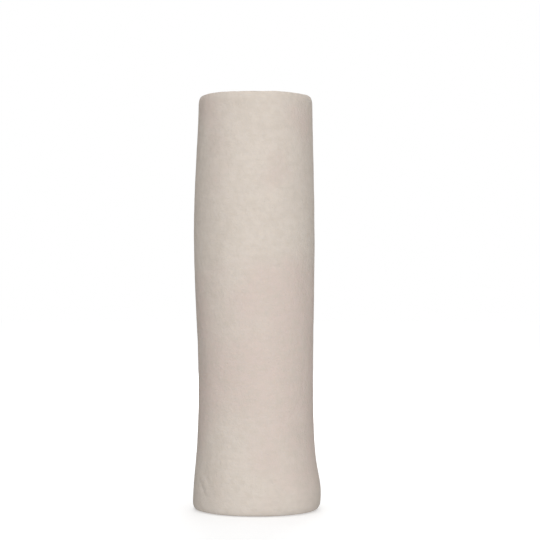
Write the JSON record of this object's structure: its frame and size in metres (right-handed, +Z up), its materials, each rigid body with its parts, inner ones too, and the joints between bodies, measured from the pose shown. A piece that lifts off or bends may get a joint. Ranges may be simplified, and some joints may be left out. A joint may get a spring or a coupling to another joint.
{
  "type": "roll of quilt batting",
  "caption": "Upright roll of soft cotton batting, folded double and wound on itself, with its spiral of turns showing at the top and a flat foot to stand on.",
  "frame": {"origin": "middle of the foot, on the surface that the roll stands on", "axes": "+Z up along the roll's axis, -Y towards the front; the loose end runs down the back"},
  "size_m": [0.377, 0.3742, 1.2214],
  "materials": {
    "batting": "matte needled cotton, natural cream beige, with a faint nap"
  },
  "bodies": {
    "root": {"batting_roll": "batting"}
  },
  "joints": []
}
